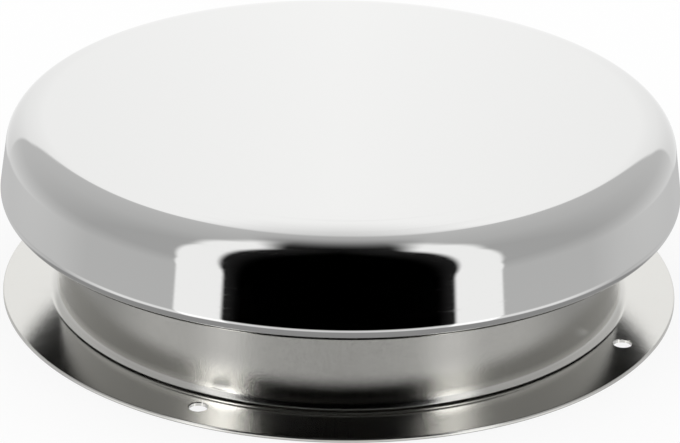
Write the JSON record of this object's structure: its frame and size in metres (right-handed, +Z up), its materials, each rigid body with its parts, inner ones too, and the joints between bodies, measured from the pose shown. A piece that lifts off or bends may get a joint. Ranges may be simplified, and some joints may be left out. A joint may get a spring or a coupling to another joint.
{
  "type": "mushroom deck ventilator",
  "caption": "Low round stainless deck ventilator: a polished cap raised over a flanged satin collar, closed from below by a hand knob on a screw spindle.",
  "frame": {"origin": "centre of the flange's underside, on the deck plane", "axes": "+Z up from the deck along the cap's spindle; the deck screws lie on the diagonals of X and Y, and one bridge arm points along +Y"},
  "size_m": [0.22, 0.22, 0.065],
  "materials": {
    "polished_steel": "spun stainless sheet, mirror polished",
    "satin_steel": "drawn stainless sheet, fine satin grain",
    "mill_steel": "stainless steel, mill finish",
    "spring_steel": "phosphated spring steel",
    "brass": "turned brass",
    "black_nylon": "moulded glass-filled nylon",
    "natural_nylon": "turned natural nylon",
    "seal_rubber": "moulded EPDM rubber",
    "screen_wire": "woven stainless wire"
  },
  "bodies": {
    "deck_base": {"deck_collar": "satin_steel", "bridge": "mill_steel", "bridge_bush": "natural_nylon", "rod_grommets": "natural_nylon", "thrust_washer": "natural_nylon", "slip_washer": "mill_steel", "screen_frame": "black_nylon", "screen_hub_ring": "black_nylon", "insect_screen": "screen_wire", "screen_screws": "mill_steel"},
    "knob": {"hand_knob": "black_nylon", "sleeve_nut": "brass", "retaining_ring": "spring_steel", "knob_cover": "black_nylon"},
    "cap": {"cap_shell": "polished_steel", "cap_stiffener": "mill_steel", "spindle": "mill_steel", "guide_rods": "mill_steel", "cap_seal": "seal_rubber", "stop_washer": "mill_steel", "stop_screw": "mill_steel"}
  },
  "joints": [
    {"name": "knob_turn", "type": "hinge", "parent": "deck_base", "child": "knob", "pos_m": [0, 0, 0.027], "axis": [0, 0, 1], "range_deg": [0, 780]},
    {"name": "cap_lift", "type": "slide", "parent": "deck_base", "child": "cap", "axis": [0, 0, 1], "range_m": [-0.013, 0]}
  ],
  "couplings": [
    {"joint": "knob_turn", "follows": "cap_lift", "rad_per_m": -1047.2}
  ]
}
